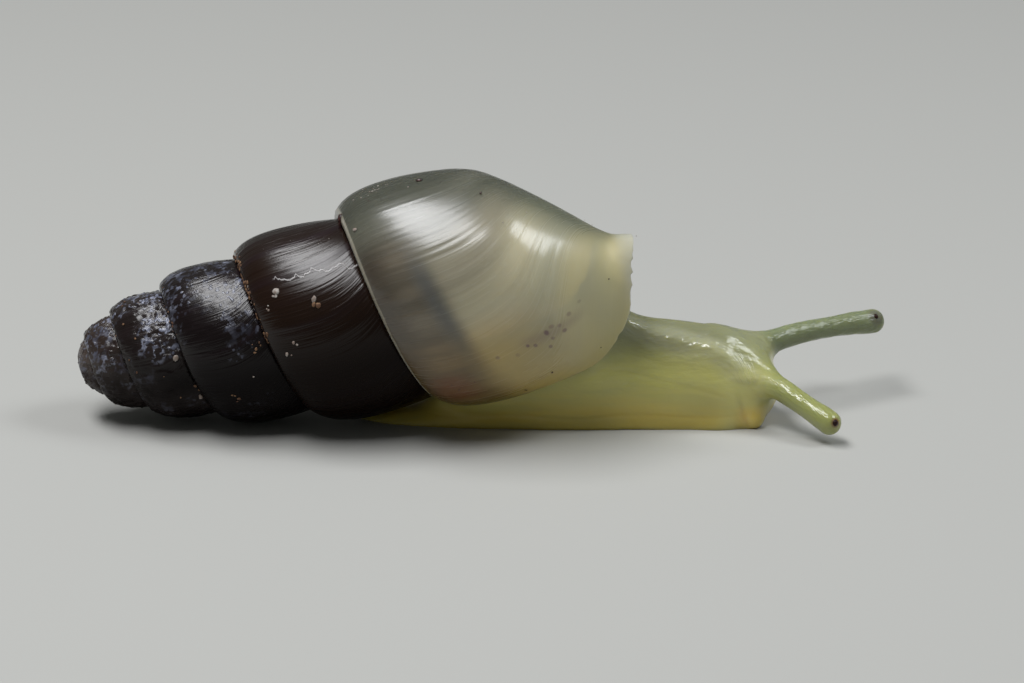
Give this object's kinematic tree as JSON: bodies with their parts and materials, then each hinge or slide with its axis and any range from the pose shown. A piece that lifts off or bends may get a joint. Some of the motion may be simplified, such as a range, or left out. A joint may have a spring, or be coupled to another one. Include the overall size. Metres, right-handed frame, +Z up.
{
  "type": "striped snail",
  "caption": "Small land snail crawling with feelers out: tall dark awl-shaped shell with a pearly last whorl and fine growth stripes, and a pale yellow-green body.",
  "frame": {"origin": "middle of the snail's bounding box, on the floor under the sole", "axes": "+X from the tip of the shell to the feelers, +Y to the snail's left, +Z up"},
  "size_m": [0.0245, 0.0072, 0.0079],
  "materials": {
    "apex_brown": "worn, matt",
    "spire_brown": "glossy, finely striped",
    "pearl_shell": "pearly, finely striped",
    "lip_white": "satin",
    "collar_cream": "moist",
    "skin_green": "moist, translucent",
    "foot_yellow": "moist, translucent",
    "feeler_green": "moist, translucent",
    "eye_black": "glossy"
  },
  "bodies": {
    "root": {"shell_apex": "apex_brown", "shell_spire_upper": "spire_brown", "shell_spire_lower": "spire_brown", "shell_last_whorl": "pearl_shell", "shell_lip": "lip_white", "mantle_collar": "collar_cream", "tail": "skin_green", "foot": "foot_yellow", "trunk": "skin_green", "neck": "skin_green", "head": "skin_green", "feeler_upper_right": "feeler_green", "feeler_upper_left": "feeler_green", "feeler_lower_right": "foot_yellow", "feeler_lower_left": "foot_yellow", "eye_right": "eye_black", "eye_left": "eye_black"}
  },
  "joints": []
}
